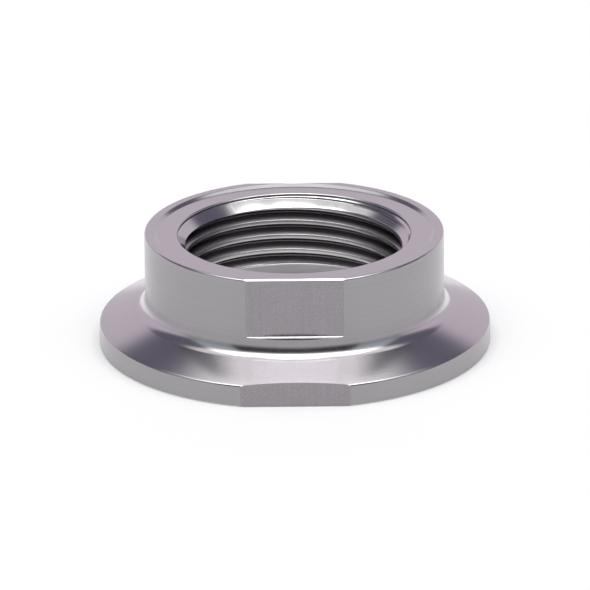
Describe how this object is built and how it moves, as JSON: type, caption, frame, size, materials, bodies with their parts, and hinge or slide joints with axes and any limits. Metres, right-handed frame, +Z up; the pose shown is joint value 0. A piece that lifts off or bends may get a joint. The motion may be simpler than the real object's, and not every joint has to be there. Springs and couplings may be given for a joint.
{
  "type": "sensor threaded adapter",
  "caption": "Round clamp ferrule with a short threaded collar that takes a process sensor; spanner flats on collar and rim.",
  "frame": {"origin": "centre of the flat sealing face that the adapter stands on, on the bore's axis", "axes": "+Z up along the bore, towards the side that the sensor screws into; the spanner flats face -Y and +Y"},
  "size_m": [0.0505, 0.0486, 0.015],
  "materials": {
    "stainless_steel": "turned and milled stainless steel, satin bright, with fine tool marks"
  },
  "bodies": {
    "root": {"adapter_body": "stainless_steel"}
  },
  "joints": []
}
